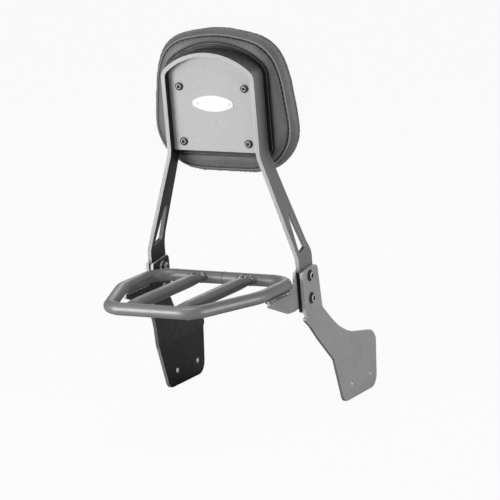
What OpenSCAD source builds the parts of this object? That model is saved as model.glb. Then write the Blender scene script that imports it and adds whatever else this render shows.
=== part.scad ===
// Passenger backrest with a small tubular luggage rack for a motorcycle.
// X is across the motorcycle and positive to its right, Y points to its front, Z is up.
// The origin is on the centre plane, on the line through the two rear fixing holes.

/* [Upright] */
// Thickness of the bent strip
strip_t = 6; // [4:0.5:8]
// Width of the strip in the arch
strip_w = 33; // [28:1:40]
// Width of the strip at its feet
foot_strip_w = 48; // [42:1:56]
// Distance over the outer faces of the two feet
foot_w = 252; // [220:1:290]
// Distance over the outer faces of the arch
arch_w = 152; // [130:1:180]
// Height from the feet to the upper knees
upper_knee_h = 240; // [215:1:270]
// Height from the feet to the lower knees
lower_knee_h = 83; // [78:1:100]
// Height from the feet to the top of the arch
arch_h = 397; // [385:1:430]
// Outer radius of the crown of the arch
crown_r = 105; // [100:1:160]
// Outer radius of the two shoulders of the arch
shoulder_r = 20; // [14:1:30]
// Inner bend radius of the knees
knee_r = 45; // [20:1:70]
// Backward lean of the upright in degrees
lean = 6.8; // [0:0.2:15]

/* [Leg slots] */
// Height of the slot's lower edge above the feet
slot_low_h = 88; // [80:1:100]
// Length of the slot
slot_len = 61; // [40:1:80]
// Width of the slot at its lower end
slot_low_w = 26; // [16:1:30]
// Radius of the slot's narrow upper end
slot_tip_r = 4; // [2:0.5:6]
// Corner radius at the slot's lower end
slot_corner_r = 3.5; // [1:0.5:6]
// Steel left between the rear edge and the slot's lower end
slot_rear_web = 9; // [7:0.5:16]
// Steel left between the rear edge and the slot's tip
slot_tip_web = 22.5; // [14:0.5:27]

/* [Back plate] */
// Thickness of the back plate
back_plate_t = 3; // [2:0.5:5]
// Depth of the back plate behind the rear edge of the strip
back_plate_depth = 13; // [4:0.5:18]
// Distance from the lower screws down to the back plate's lower edge
back_plate_drop = 14; // [9:1:20]
// Spacing of the cushion's screws across
screw_dx = 107; // [90:1:120]
// Spacing of the cushion's screws along the upright
screw_dh = 85; // [70:1:100]
// Height of the lower screws above the feet
screw_low_h = 256; // [252:1:275]

/* [Badge] */
// Length of the blank badge
badge_l = 62; // [56:0.5:90]
// Height of the blank badge
badge_w = 25; // [12:0.5:30]
// Thickness of the badge
badge_t = 1; // [0.5:0.1:2]
// Height of the badge's centre above the feet
badge_h = 316; // [300:1:330]
// Height of the badge at its blunt ends
badge_end_w = 10; // [6:0.5:12]
// Distance between the two rivets
rivet_dx = 52; // [30:0.5:56]
// Diameter of a rivet's head
rivet_d = 4; // [2:0.5:5]

/* [Cushion] */
// Thickness of the board behind the cushion
board_t = 5; // [3:0.5:8]
// Overhang of the board around the arch
board_lip = 6.5; // [3:0.5:10]
// Distance from the lower screws down to the board's lower edge
board_drop = 24.5; // [18:0.5:34]
// Thickness of the cushion
pad_t = 50; // [42:1:62]
// Width between the cushion's lower corners before they are rounded
pad_low_w = 254; // [240:1:270]
// Width between the bulges of the cushion's sides before they are rounded
pad_mid_w = 220; // [212:1:230]
// Width between the cushion's upper corners before they are rounded
pad_top_w = 187; // [178:1:196]
// Height of the cushion's top above the feet
pad_top_h = 427; // [420:0.5:440]
// Height of the cushion's upper corners above the feet
pad_shoulder_h = 408; // [402:1:414]
// Height of the bulges of the cushion's sides above the feet
pad_mid_h = 347; // [335:1:358]
// Height of the cushion's bottom above the feet
pad_low_h = 198; // [188:1:206]
// Radius of the cushion's lower corners
pad_low_r = 74; // [55:1:80]
// Radius of the bulges of the cushion's sides
pad_mid_r = 160; // [80:5:200]
// Radius of the cushion's upper corners
pad_top_r = 62; // [40:1:66]
// Radius of the cushion's top edge in its middle
pad_crest_r = 190; // [120:5:260]

/* [Rack] */
// Diameter of the rack's tube
tube_d = 19; // [16:0.5:22]
// Wall of the rack's tube
tube_wall = 1.5; // [1:0.1:2.5]
// Height of the rack's tube axis above the fixing holes
rack_z = 180; // [176:1:186]
// Distance of the front cross tube's axis in front of the upright's rear edge at the feet
rack_front = -5; // [-9:0.5:-3]
// Distance between the axes of the front and rear cross tubes
rack_l = 249; // [200:1:320]
// Length of the parallel sides, from the front axis to the bend
rack_side_l = 116; // [100:1:150]
// Distance between the corners of the rear cross tube's axis
rack_rear_w = 138; // [110:1:180]
// Bend radius of the tube's axis at the front corners
front_bend_r = 36; // [28:1:45]
// Bend radius of the tube's axis where the sides turn inwards
side_bend_r = 90; // [50:1:120]
// Bend radius of the tube's axis at the rear corners
rear_bend_r = 32; // [26:1:45]
// Distance between the axes of the two rack bars
bar_dx = 81; // [60:1:100]
// Length of the flattened stretch at each end of a bar
flat_l = 28; // [18:1:40]
// Height of a bar's flattened end
flat_h = 8; // [6:0.5:12]
// Width of a bar's flattened end
flat_w = 26; // [20:0.5:30]
// Diameter of the drain holes under the rack's tube
drain_d = 3.2; // [2:0.1:3.8]

/* [Rack brackets] */
// Thickness of a bracket
bracket_t = 4; // [3:0.5:6]
// Distance of the tube's axis inside the middle of the bracket
tube_inset = 4; // [0:0.5:5]
// Length of the bracket under the rack, from the upright's rear edge
bracket_tail = 104; // [85:1:115]
// Depth of the bracket's tail below the tube's axis
tail_drop = 19; // [16:0.5:24]
// Radius of the bracket's upper front corner
bracket_r = 7; // [3:0.5:10]

/* [Side plates] */
// Thickness of a side plate
plate_t = 5; // [4:0.5:8]
// Distance between the inner faces of the two side plates at the fixing holes
rail_w = 292; // [272:1:316]
// Height of the upper bend above the fixing holes
upper_bend_z = 128; // [124:1:131]
// Height of the lower bend above the fixing holes
lower_bend_z = 51; // [44:1:60]
// Width of the tab that is bolted to the upright
tab_w = 54; // [52:1:62]
// Growth of the tab's width down to the upper bend
tab_flare = 7; // [0:1:12]
// Radius of the tab's upper front corner
tab_r = 11; // [6:1:18]
// Distance from the rear fixing hole to the end of the front arm
front_arm_y = 97; // [92:1:115]
// Height of the front arm's corner above the lower bend
arm_rise = 13; // [8:1:20]
// Distance from the rear fixing hole to the middle of the front edge's curve, forward positive
arm_bend_y = -6; // [-14:1:10]
// Radius of the front edge's curve
arm_r = 130; // [60:5:135]
// Distance from the rear fixing hole to the lower rear corner, forward positive
blade_rear_y = -28; // [-45:1:-18]
// Drop of the lower edge below the fixing holes
blade_drop = 24; // [16:1:34]
// Distance between the front and rear fixing holes
fixing_dy = 72; // [55:1:74]
// Diameter of a fixing hole
fixing_d = 9; // [6.5:0.5:11]

/* [Fasteners] */
// Thread of the side bolts
bolt_d = 8; // [6:1:10]
// Distance between the two side bolts
bolt_dh = 35.5; // [32:0.5:38]
// Height of the lower side bolt above the feet
bolt_low_h = 16; // [13:0.5:20]
// Distance of the side bolts from the strip's rear edge
bolt_w = 24; // [18:0.5:30]
// Thread of the cushion's screws
screw_d = 6; // [4:1:6]
// Added diameter of the clearance holes
hole_fit = 0.6; // [0.4:0.1:1]

/* [Hidden] */

$fn = 48;
// Steps in one rounded corner of an outline
corner_n = 8;
// Gap left where two welded or stacked pieces would share a curved face
seat_gap = 0.1;
// Small overlap that lets a cutter pass through a face
cut = 1;
// Swelling of the tube's diameter in a bend, and length of straight tube inside it
bend_swell = 0.2;
bend_lap = 1;

// Play between a screw's or rivet's shank and the part round it, on the radius
shank_play = 0.05;

// Place of the upright's feet
foot_y = -120;
foot_z = 133;
// Length of straight strip above the upper knees
leg_top = 40;
// Shape of the strip's taper above the feet: its height, the width it leaves and its bend
taper_h = 18;
taper_extra = 10;
taper_r = 20;
// Slant of the slot's lower end
slot_slant = 5;
// Radius of the lower corners of the board behind the cushion
board_r = 14;
// Steel between the bracket's bolts and its edges: above, below, to the front and behind the strip
bracket_above = 12;
bracket_below = 11;
bracket_front = 26;
bracket_behind = 4;
// Steel above the upper bolt in the side plate's tab
tab_above = 10.5;
// Depth and half height of the bend notch in the side plate's rear edge
notch_d = 3.5;
notch_h = 2.5;
// Distance that the blade's rear edge runs back, up to the lower bend
blade_flare = 34;

half_arch = arch_w / 2 - strip_t / 2;
half_foot = foot_w / 2 - strip_t / 2;
crown_h = arch_h - crown_r;
bolt_heights = [bolt_low_h, bolt_low_h + bolt_dh];
screw_heights = [screw_low_h, screw_low_h + screw_dh];
back_plate_low_h = screw_low_h - back_plate_drop;
board_low_h = screw_low_h - board_drop;
board_w0 = strip_w;
pad_w0 = strip_w + board_t;
ring_half = foot_w / 2 - strip_t - bracket_t / 2 - tube_inset;
ring_front_y = foot_y + rack_front;
ring_rear_y = ring_front_y - rack_l;
side_bolt_hole = bolt_d + hole_fit;
screw_hole = screw_d + hole_fit;
nut_h = bolt_d;
bolt_end = 2;
bolt_len = plate_t + strip_t + bracket_t + nut_h + bolt_end;
tee_flange_t = 1.5;
screw_end = 3;
screw_len = strip_w - back_plate_depth + board_t + tee_flange_t + screw_end;
spacer_d = screw_d + 6;
// Blind skin left in the board in front of each spacer, and the barrel of its nut
board_skin = 1;
barrel_d = screw_d + 2;
tee_flange_d = screw_d * 3;
// Room round the nuts in the foam
foam_room = 0.5;

steel = [0.23, 0.23, 0.24];
edge_steel = [0.45, 0.45, 0.46];
plate_grey = [0.62, 0.62, 0.62];
zinc = [0.55, 0.56, 0.58];
vinyl = [0.16, 0.16, 0.17];

// Helpers for outlines

function unit(v) = v / norm(v);

// Points of the arc that rounds the corner b between a and c
function corner(a, b, c, r) =
    let (u = unit(a - b), v = unit(c - b), turn = acos(max(-1, min(1, u * v))))
    r <= 0 || turn > 179.9 ? [b] :
    let (
        back = r / tan(turn / 2),
        centre = b + unit(u + v) * r / sin(turn / 2),
        first = b + u * back - centre,
        last = b + v * back - centre,
        a0 = atan2(first.y, first.x),
        raw = atan2(last.y, last.x) - a0,
        sweep = raw > 180 ? raw - 360 : (raw < -180 ? raw + 360 : raw)
    )
    [for (i = [0:corner_n]) centre + r * [cos(a0 + sweep * i / corner_n), sin(a0 + sweep * i / corner_n)]];

// Closed outline with rounded corners from points of the form [x, y, radius]
function rounded(p) = [
    for (i = [0:len(p) - 1])
        let (a = p[(i + len(p) - 1) % len(p)], b = p[i], c = p[(i + 1) % len(p)])
        each corner([a.x, a.y], [b.x, b.y], [c.x, c.y], b.z)
];

// Open path with rounded inner corners
function rounded_path(p) = [
    for (i = [0:len(p) - 1])
        each (i == 0 || i == len(p) - 1
            ? [[p[i].x, p[i].y]]
            : corner([p[i - 1].x, p[i - 1].y], [p[i].x, p[i].y], [p[i + 1].x, p[i + 1].y], p[i].z))
];

// Normal of a path at point i, lengthened so that an offset keeps its distance
function mitre(p, i) =
    let (
        d1 = i == 0 ? unit(p[1] - p[0]) : unit(p[i] - p[i - 1]),
        d2 = i == len(p) - 1 ? d1 : unit(p[i + 1] - p[i]),
        n1 = [-d1.y, d1.x],
        n2 = [-d2.y, d2.x]
    )
    unit(n1 + n2) / (unit(n1 + n2) * n1);

function shifted(p, d) = [for (i = [0:len(p) - 1]) p[i] + d * mitre(p, i)];

function reversed(p) = [for (i = [len(p) - 1:-1:0]) p[i]];

function mirrored(p) = [for (q = reversed(p)) [-q.x, q.y]];

// Strip of thickness t along a path
function band(p, t) = concat(shifted(p, t / 2), reversed(shifted(p, -t / 2)));

// Helpers for places

// Frame of the upright: X across, Y from its rear edge to the front, Z along its lean
module in_lean() {
    translate([0, foot_y, foot_z]) rotate([lean, 0, 0]) children();
}

// Point of the upright's frame in the part's own frame
function lean_yz(w, h) = [
    foot_y + w * cos(lean) - h * sin(lean),
    foot_z + w * sin(lean) + h * cos(lean)
];

// Outline in X and height, extruded forward from y0
module face_plate(y0, t) {
    translate([0, y0 + t, 0]) rotate([90, 0, 0]) linear_extrude(t) children();
}

// Outline in Y and Z, extruded across from x0
module side_slab(x0, t) {
    translate([x0, 0, 0]) rotate([90, 0, 90]) linear_extrude(t) children();
}

// Cylinder along Y
module rod_y(y0, l, d) {
    translate([0, y0, 0]) rotate([-90, 0, 0]) cylinder(h = l, d = d);
}

// Cylinder along X
module rod_x(x0, l, d) {
    translate([x0, 0, 0]) rotate([0, 90, 0]) cylinder(h = l, d = d);
}

module at_screws() {
    for (x = [-screw_dx / 2, screw_dx / 2], h = screw_heights) translate([x, 0, h]) children();
}

module at_bolt(h) {
    in_lean() translate([0, bolt_w, h]) children();
}

// Arch

// Right half of the arch's outline, grown from the strip's middle by g, from the side to the crown
function arch_half(g) =
    let (
        r = shoulder_r - strip_t / 2 + g,
        big = crown_r - strip_t / 2 + g,
        cx = half_arch + g - r,
        cy = crown_h + sqrt(pow(big - r, 2) - cx * cx),
        tip = atan2(cy - crown_h, cx)
    )
    concat(
        [for (i = [0:corner_n]) [cx + r * cos(tip * i / corner_n), cy + r * sin(tip * i / corner_n)]],
        [for (i = [1:corner_n])
            let (a = tip + (90 - tip) * i / corner_n)
            [big * cos(a), crown_h + big * sin(a)]]
    );

function arch_top(g) = concat(arch_half(g), [for (q = mirrored(arch_half(g))) if (q.x < -0.01) q]);

function leg_path() = rounded_path([
    [half_foot, 0, 0],
    [half_foot, lower_knee_h, knee_r + strip_t / 2],
    [half_arch, upper_knee_h, knee_r + strip_t / 2],
    [half_arch, upper_knee_h + leg_top, 0]
]);

function strip_path() = concat(leg_path(), arch_top(0), mirrored(leg_path()));

// The strip from the side, wide at the feet and narrow in the arch
module strip_side() {
    taper_end = [strip_w + taper_extra, lower_knee_h + taper_h];
    polygon(concat(
        [[0, -cut], [foot_strip_w, -cut]],
        corner([foot_strip_w, 0], [foot_strip_w, lower_knee_h], taper_end, taper_r),
        [taper_end, [strip_w, board_low_h - cut], [strip_w, arch_h + cut], [0, arch_h + cut]]
    ));
}

module slot_outline() {
    tip_h = slot_low_h + slot_len;
    polygon(rounded([
        [slot_rear_web, slot_low_h, slot_corner_r],
        [slot_rear_web + slot_low_w, slot_low_h + slot_slant, slot_corner_r],
        [slot_tip_web + slot_tip_r, tip_h, slot_tip_r * 0.98],
        [slot_tip_web - slot_tip_r, tip_h, slot_tip_r * 0.98]
    ]));
}

module upright() {
    color(steel) in_lean() difference() {
        intersection() {
            face_plate(0, foot_strip_w) polygon(band(strip_path(), strip_t));
            side_slab(-foot_w, 2 * foot_w) strip_side();
        }
        side_slab(-foot_w, 2 * foot_w) slot_outline();
        for (h = bolt_heights) translate([0, bolt_w, h]) rod_x(-foot_w, 2 * foot_w, side_bolt_hole);
    }
}

// Back plate and badge

module back_plate() {
    inner = -strip_t / 2 - seat_gap;
    color(plate_grey) in_lean() difference() {
        face_plate(back_plate_depth, back_plate_t) polygon(concat(
            [[half_arch + inner, back_plate_low_h]],
            arch_top(inner),
            [[-half_arch - inner, back_plate_low_h]]
        ));
        at_screws() rod_y(0, strip_w, screw_hole);
        for (x = [-rivet_dx / 2, rivet_dx / 2])
            translate([x, 0, badge_h]) rod_y(0, strip_w, rivet_d / 2);
    }
}

// Lens with two long arcs and blunt rounded ends
module badge_outline() {
    half_l = badge_l / 2;
    rise = (badge_w - badge_end_w) / 2;
    arc_r = (half_l * half_l + rise * rise) / (2 * rise);
    reach = asin(half_l / arc_r);
    top = [for (i = [0:16]) let (a = reach - 2 * reach * i / 16)
        [arc_r * sin(a), badge_w / 2 - arc_r + arc_r * cos(a)]];
    blunt = badge_end_w / 2;
    end = [for (i = [1:5]) let (a = 90 + 180 * i / 6) [-half_l + blunt / 2 * cos(a), blunt * sin(a)]];
    polygon(concat(top, end, [for (q = reversed(top)) [q.x, -q.y]], [for (q = reversed(end)) [-q.x, q.y]]));
}

module badge_plate() {
    color("white") in_lean() difference() {
        translate([0, 0, badge_h]) face_plate(back_plate_depth - badge_t, badge_t) badge_outline();
        for (x = [-rivet_dx / 2, rivet_dx / 2])
            translate([x, 0, badge_h]) rod_y(0, strip_w, rivet_d / 2);
    }
}

module badge_rivets() {
    head_h = rivet_d * 0.3;
    head_y = back_plate_depth - badge_t - head_h;
    rivet_l = head_h + badge_t + back_plate_t;
    color("white") in_lean() for (x = [-rivet_dx / 2, rivet_dx / 2]) translate([x, 0, badge_h]) {
        rod_y(head_y, head_h, rivet_d);
        rod_y(head_y, rivet_l, rivet_d / 2 - 2 * shank_play);
    }
}

// Fasteners

// Flanged button head screw along Z, with the head above zero and the shank below
module button_screw(d, l) {
    flange_d = d * 2.2;
    flange_t = d * 0.17;
    head_d = d * 1.66;
    head_h = d * 0.55;
    top_d = d * 0.9;
    socket_d = d * 0.63;
    shank_r = d / 2 - shank_play;
    tip = 0.6;
    rim = 0.3;
    difference() {
        rotate_extrude() polygon([
            [0, -l], [shank_r - tip, -l], [shank_r, -l + tip], [shank_r, 0],
            [flange_d / 2 - rim, 0], [flange_d / 2, rim], [flange_d / 2, flange_t * 0.8],
            [head_d / 2 + rim, flange_t], [head_d / 2, flange_t + rim],
            [head_d / 2 * 0.93, head_h * 0.6], [head_d / 2 * 0.8, head_h * 0.82],
            [top_d / 2, head_h], [0, head_h]
        ]);
        translate([0, 0, head_h * 0.42]) cylinder(h = head_h, d = socket_d / cos(30), $fn = 6);
    }
}

module pad_screws() {
    color("black") in_lean() at_screws()
        translate([0, back_plate_depth, 0]) rotate([90, 0, 0]) button_screw(screw_d, screw_len);
}

module pad_spacers() {
    y0 = back_plate_depth + back_plate_t;
    color(edge_steel) in_lean() at_screws() difference() {
        rod_y(y0, strip_w - y0, spacer_d);
        rod_y(y0 - cut, strip_w - y0 + 2 * cut, screw_hole);
    }
}

module pad_tee_nuts() {
    color(zinc) in_lean() at_screws() difference() {
        union() {
            rod_y(board_w0 + board_skin, board_t - board_skin + tee_flange_t, barrel_d);
            rod_y(pad_w0, tee_flange_t, tee_flange_d);
        }
        rod_y(board_w0, board_t + tee_flange_t + cut, screw_d);
    }
}

// Flanged hexagon nut on its flange
module flange_nut() {
    flange_d = bolt_d * 2.2;
    flange_t = 1.2;
    across = bolt_d * 1.625;
    difference() {
        union() {
            cylinder(h = flange_t, d = flange_d);
            translate([0, 0, flange_t]) cylinder(h = nut_h * 0.3, d1 = flange_d, d2 = across);
            cylinder(h = nut_h, d = across / cos(30), $fn = 6);
        }
        translate([0, 0, -cut]) cylinder(h = nut_h + 2 * cut, d = bolt_d);
    }
}

module side_bolt(side, h) {
    head_x = side * (foot_w / 2 + plate_t);
    color("black") at_bolt(h)
        translate([head_x, 0, 0]) rotate([0, side * 90, 0]) button_screw(bolt_d, bolt_len);
}

module side_nut(side, h) {
    seat_x = side * (foot_w / 2 - strip_t - bracket_t);
    color(zinc) at_bolt(h)
        translate([seat_x, 0, 0]) rotate([0, -side * 90, 0]) flange_nut();
}

// Cushion

module pad_base() {
    outer = strip_t / 2 + board_lip;
    side_x = half_arch + outer;
    low_corner = corner([0, board_low_h], [side_x, board_low_h], [side_x, arch_h], board_r);
    color(vinyl) in_lean() difference() {
        face_plate(board_w0, board_t) polygon(concat(low_corner, arch_top(outer), mirrored(low_corner)));
        at_screws() {
            rod_y(0, strip_w + board_skin + seat_gap, screw_hole);
            rod_y(board_w0 + board_skin - seat_gap, board_t + cut, barrel_d + seat_gap);
        }
    }
}

// Outline of the cushion at its fullest, round its own middle
function pad_outline() =
    let (
        mid = (pad_top_h + pad_low_h) / 2,
        right = [
            [pad_low_w / 2, pad_low_h - mid, pad_low_r],
            [pad_mid_w / 2, pad_mid_h - mid, pad_mid_r],
            [pad_top_w / 2, pad_shoulder_h - mid, pad_top_r]
        ]
    )
    rounded(concat(
        right,
        [[0, pad_top_h - mid, pad_crest_r]],
        [for (q = reversed(right)) [-q.x, q.y, q.z]]
    ));

// Depth as a share of the cushion's thickness, with the outline's share of its full size
pad_sections = [
    [0, 0.8], [0.01, 0.89], [0.05, 0.925], [0.15, 0.967], [0.3, 1], [0.46, 0.987],
    [0.6, 0.945], [0.72, 0.89], [0.84, 0.78], [0.92, 0.63], [0.98, 0.38], [1, 0.12]
];

module backrest_cushion() {
    outline = pad_outline();
    n = len(outline);
    mid = (pad_top_h + pad_low_h) / 2;
    last = len(pad_sections) - 1;
    points = [for (s = pad_sections, q = outline) [q.x * s[1], pad_w0 + s[0] * pad_t, mid + q.y * s[1]]];
    sides = [for (k = [0:last - 1], i = [0:n - 1])
        [k * n + i, k * n + (i + 1) % n, (k + 1) * n + (i + 1) % n, (k + 1) * n + i]];
    color(vinyl) in_lean() difference() {
        polyhedron(points, concat(
            [[for (i = [n - 1:-1:0]) i]], sides, [[for (i = [0:n - 1]) last * n + i]]
        ), convexity = 4);
        at_screws() {
            rod_y(pad_w0 - cut, cut + tee_flange_t + foam_room, tee_flange_d + 2 * foam_room);
            rod_y(pad_w0 - cut, cut + tee_flange_t + screw_end + 2 * foam_room, barrel_d + 2 * foam_room);
        }
    }
}

// Rack

// Corners of the ring's axis as [x, y, bend radius]
ring_corners = [
    [ring_half, ring_front_y, front_bend_r],
    [-ring_half, ring_front_y, front_bend_r],
    [-ring_half, ring_front_y - rack_side_l, side_bend_r],
    [-rack_rear_w / 2, ring_rear_y, rear_bend_r],
    [rack_rear_w / 2, ring_rear_y, rear_bend_r],
    [ring_half, ring_front_y - rack_side_l, side_bend_r]
];

function plan(p) = [p.x, p.y];

// Inside angle at corner i of the ring
function ring_turn(i) =
    let (
        b = plan(ring_corners[i]),
        u = unit(plan(ring_corners[(i + 5) % 6]) - b),
        v = unit(plan(ring_corners[(i + 1) % 6]) - b)
    )
    acos(u * v);

// Length of straight tube that the bend at corner i takes from each neighbour
function ring_back(i) = ring_corners[i].z / tan(ring_turn(i) / 2);

// The ring as straight cylinders of diameter d that end inside slightly swollen bends
module ring_tube(d) {
    translate([0, 0, rack_z]) for (i = [0:5]) {
        a = plan(ring_corners[i]);
        b = plan(ring_corners[(i + 1) % 6]);
        along = unit(b - a);
        start = a + along * (ring_back(i) - bend_lap);
        span = norm(b - a) - ring_back(i) - ring_back((i + 1) % 6) + 2 * bend_lap;
        translate([start.x, start.y, 0]) rotate([0, 90, atan2(along.y, along.x)]) cylinder(h = span, d = d);
        before = unit(plan(ring_corners[(i + 5) % 6]) - a);
        bisector = unit(before + along);
        centre = a + bisector * ring_corners[i].z / sin(ring_turn(i) / 2);
        sweep = 180 - ring_turn(i);
        translate([centre.x, centre.y, 0]) rotate([0, 0, atan2(-bisector.y, -bisector.x) - sweep / 2])
            rotate_extrude(angle = sweep) translate([ring_corners[i].z, 0]) circle(d = d + bend_swell);
    }
}

module rack_ring() {
    color(steel) difference() {
        ring_tube(tube_d);
        ring_tube(tube_d - 2 * tube_wall);
        for (y = [ring_front_y, ring_rear_y])
            translate([0, y, rack_z - tube_d]) cylinder(h = tube_d, d = drain_d);
    }
}

// Slice of a bar that is w wide and h high, at place y
module bar_slice(y, w, h) {
    slice_t = 0.5;
    translate([0, y, rack_z]) rotate([90, 0, 0]) linear_extrude(slice_t, center = true)
        hull() for (s = [-1, 1]) translate([s * (w - h) / 2, 0]) circle(d = h, $fn = 32);
}

// End of a bar, pressed flat towards the cross tube at place y, with s the way back along the bar
module bar_end(y, s) {
    flat_y = y + s * (tube_d / 2 + 6);
    swell_y = y + s * (tube_d / 2 + flat_l * 0.6);
    round_y = y + s * (tube_d / 2 + flat_l);
    swell_w = (flat_w + tube_d) / 2 - 1;
    swell_h = (flat_h + tube_d) / 2 + 1.5;
    almost_round = tube_d - 0.01;
    hull() {
        bar_slice(y, flat_w, flat_h);
        bar_slice(flat_y, flat_w, flat_h);
    }
    hull() {
        bar_slice(flat_y, flat_w, flat_h);
        bar_slice(swell_y, swell_w, swell_h);
    }
    hull() {
        bar_slice(swell_y, swell_w, swell_h);
        bar_slice(round_y, tube_d, almost_round);
    }
}

module rack_bar(side) {
    flat_end = tube_d / 2 + flat_l;
    color(steel) difference() {
        translate([side * bar_dx / 2, 0, 0]) {
            translate([0, 0, rack_z]) rod_y(ring_rear_y + flat_end, rack_l - 2 * flat_end, tube_d);
            bar_end(ring_front_y, -1);
            bar_end(ring_rear_y, 1);
        }
        ring_tube(tube_d + 2 * seat_gap);
    }
}

// The bracket from the side: a tab for the bolts and a tail under the rack's tube
module bracket_outline() {
    front_w = bolt_w + bracket_front;
    top_h = bolt_heights[1] + bracket_above;
    rear_top = lean_yz(-bracket_behind, top_h);
    front_top = lean_yz(front_w, top_h);
    front_low = lean_yz(front_w, bolt_low_h - bracket_below);
    heel = lean_yz(-14, bolt_low_h - 9);
    heel_run = 22;
    saddle_z = rack_z - tube_d / 2 + 1;
    saddle_y = ring_front_y - 15;
    polygon(rounded([
        [foot_y - bracket_tail, saddle_z, 1],
        [foot_y - bracket_tail, rack_z - tail_drop, 3],
        [heel.x - heel_run, heel.y, 12],
        [heel.x, heel.y - 1, 0],
        [front_low.x, front_low.y, 8],
        [front_top.x, front_top.y, bracket_r],
        [rear_top.x, rear_top.y, 4],
        [rear_top.x, rack_z, 0],
        [saddle_y, rack_z, 0],
        [saddle_y, saddle_z, 0]
    ]));
}

module rack_bracket(side) {
    x0 = side > 0 ? foot_w / 2 - strip_t - bracket_t : -foot_w / 2 + strip_t;
    color(steel) difference() {
        side_slab(x0, bracket_t) bracket_outline();
        ring_tube(tube_d + 2 * seat_gap);
        for (h = bolt_heights) at_bolt(h) rod_x(-foot_w, 2 * foot_w, side_bolt_hole);
    }
}

// Side plates

// Middle line of the side plate's section, seen from behind, from the tab down to the blade
function plate_section() =
    let (
        x0 = foot_w / 2 + plate_t / 2,
        x1 = rail_w / 2 + plate_t / 2,
        mid_z = (upper_bend_z + lower_bend_z) / 2,
        bow = 0.4,
        bow_r = 150,
        upper_r = 10,
        lower_r = 8
    )
    rounded_path([
        [x0, foot_z + upper_bend_z, 0],
        [x0, upper_bend_z, upper_r],
        [x0 + (x1 - x0) * bow, mid_z, bow_r],
        [x1, lower_bend_z, lower_r],
        [x1, -blade_drop - cut, 0]
    ]);

// The side plate from the side: tab, notched bend, flared middle and blade with its front arm
module plate_outline() {
    top_h = bolt_heights[1] + tab_above;
    bend_h = (upper_bend_z - foot_z) / cos(lean);
    rear_top = lean_yz(0, top_h);
    front_top = lean_yz(tab_w, top_h);
    rear_low = lean_yz(0, bend_h);
    front_low = lean_yz(tab_w + tab_flare, bend_h - tab_w * tan(lean) + 3);
    notch_in_y = rear_low.x + notch_d;
    notch_out_y = rear_low.x - notch_d;
    neck = [rear_low.x + 10, upper_bend_z - 18];
    blade_top_y = blade_rear_y - blade_flare;
    step = 1.5;
    arm_z = lower_bend_z + arm_rise;
    polygon(rounded([
        [rear_top.x, rear_top.y, 3],
        [rear_low.x, upper_bend_z + notch_h, 0],
        [notch_in_y, upper_bend_z + notch_h, 0],
        [notch_in_y, upper_bend_z - notch_h, 0],
        [notch_out_y, upper_bend_z - notch_h - 1, 1.5],
        [notch_out_y, upper_bend_z - notch_h - 4, 2],
        [neck.x, neck.y, 30],
        [blade_top_y, lower_bend_z - 1, 0.6],
        [blade_top_y + step, lower_bend_z - 4, 1],
        [blade_rear_y, -blade_drop, 18],
        [front_arm_y, -blade_drop, 20],
        [front_arm_y, arm_z, 14],
        [arm_bend_y, arm_z + 16, arm_r],
        [front_low.x, front_low.y, 5],
        [front_top.x, front_top.y, tab_r]
    ]));
}

module side_plate() {
    front_y = front_arm_y + 2 * cut;
    rear_y = foot_y - foot_w;
    color(steel) difference() {
        intersection() {
            translate([0, front_y, 0]) rotate([90, 0, 0])
                linear_extrude(front_y - rear_y) polygon(band(plate_section(), plate_t));
            side_slab(0, foot_w) plate_outline();
        }
        for (h = bolt_heights) at_bolt(h) rod_x(0, foot_w, side_bolt_hole);
        for (y = [0, fixing_dy]) translate([0, y, 0]) rod_x(0, foot_w, fixing_d);
    }
}

upright();
back_plate();
badge_plate();
badge_rivets();
pad_screws();
pad_spacers();
pad_tee_nuts();
pad_base();
backrest_cushion();
mirror([1, 0, 0]) side_plate();  // side_plate_left
side_plate();  // side_plate_right
rack_ring();
rack_bar(-1);  // rack_bar_left
rack_bar(1);  // rack_bar_right
rack_bracket(-1);  // rack_bracket_left
rack_bracket(1);  // rack_bracket_right
side_bolt(-1, bolt_heights[1]);  // side_bolt_upper_left
side_bolt(-1, bolt_heights[0]);  // side_bolt_lower_left
side_bolt(1, bolt_heights[1]);  // side_bolt_upper_right
side_bolt(1, bolt_heights[0]);  // side_bolt_lower_right
side_nut(-1, bolt_heights[1]);  // flange_nut_upper_left
side_nut(-1, bolt_heights[0]);  // flange_nut_lower_left
side_nut(1, bolt_heights[1]);  // flange_nut_upper_right
side_nut(1, bolt_heights[0]);  // flange_nut_lower_right
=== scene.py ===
"""Motorcycle backrest with a tubular rack: finishes, sewn cushion, weld beads and studio stage."""

import math

import bmesh
import bpy
import numpy as np
from mathutils import Euler, Matrix, Vector
from mathutils.bvhtree import BVHTree


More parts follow.
